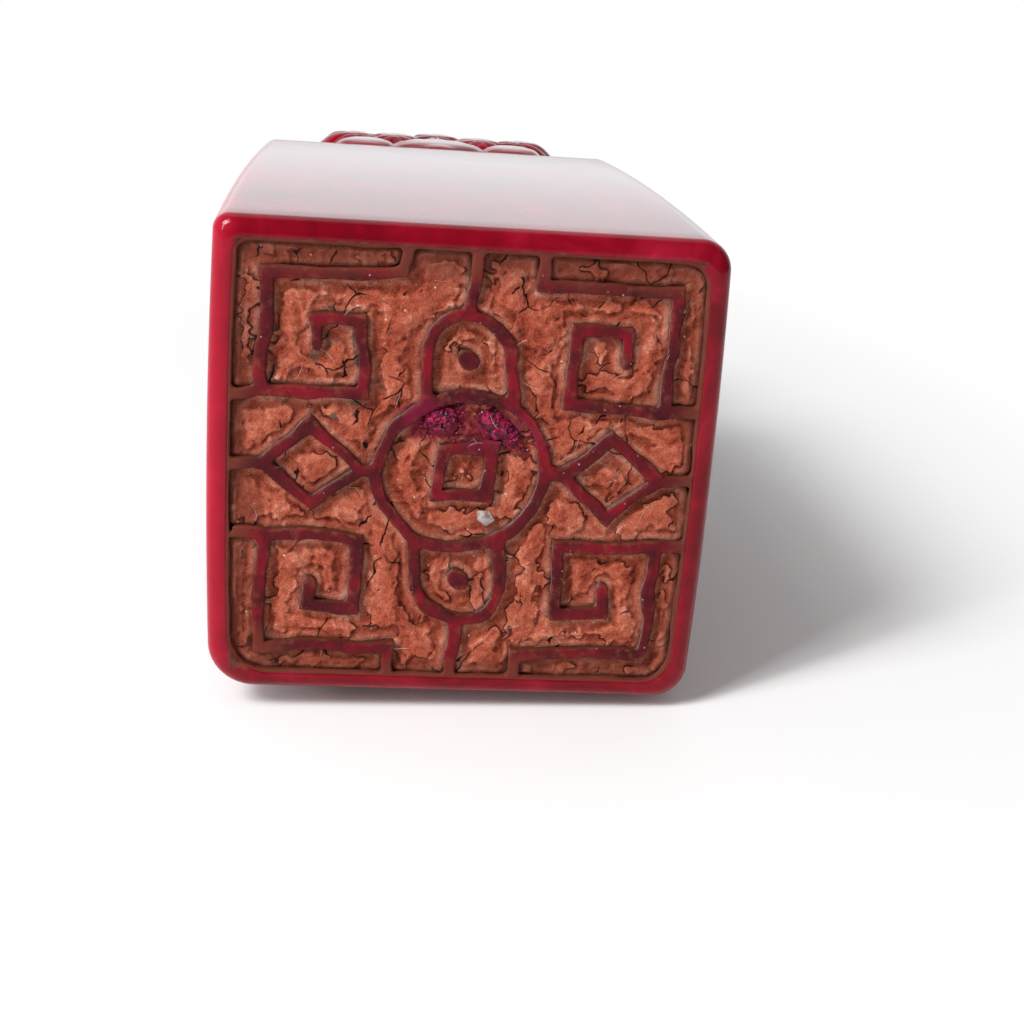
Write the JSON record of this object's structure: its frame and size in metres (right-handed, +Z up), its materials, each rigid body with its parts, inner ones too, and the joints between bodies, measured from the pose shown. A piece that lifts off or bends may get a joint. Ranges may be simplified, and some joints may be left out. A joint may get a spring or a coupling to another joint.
{
  "type": "seal stamp",
  "caption": "Square resin seal stamp with a crouching lion knob, a relief printing face and old seal paste dried in its recesses, lying on one side.",
  "frame": {"origin": "under the middle of the stamp, on the surface that it lies on", "axes": "+Y along the stamp from its printing face to its knob, +Z up as it lies on one side, so the printing face looks along -Y"},
  "size_m": [0.039, 0.0852, 0.0373],
  "materials": {
    "cherry_resin": "cast cherry-red resin, hand carved and polished to a gloss",
    "dried_paste": "dried, cracked orange-brown seal paste, matte and grainy",
    "ink_crust": "crumbly crimson crust of dried ink, half glossy"
  },
  "bodies": {
    "root": {"seal_block": "cherry_resin", "paste_cake_01": "dried_paste", "paste_cake_02": "dried_paste", "paste_cake_03": "dried_paste", "paste_cake_04": "dried_paste", "paste_cake_05": "dried_paste", "paste_cake_06": "dried_paste", "paste_cake_07": "dried_paste", "paste_cake_08": "dried_paste", "paste_cake_09": "dried_paste", "paste_cake_10": "dried_paste", "paste_cake_11": "dried_paste", "paste_cake_12": "dried_paste", "paste_cake_13": "dried_paste", "paste_cake_14": "dried_paste", "ink_crust_left": "ink_crust", "ink_crust_right": "ink_crust"}
  },
  "joints": []
}
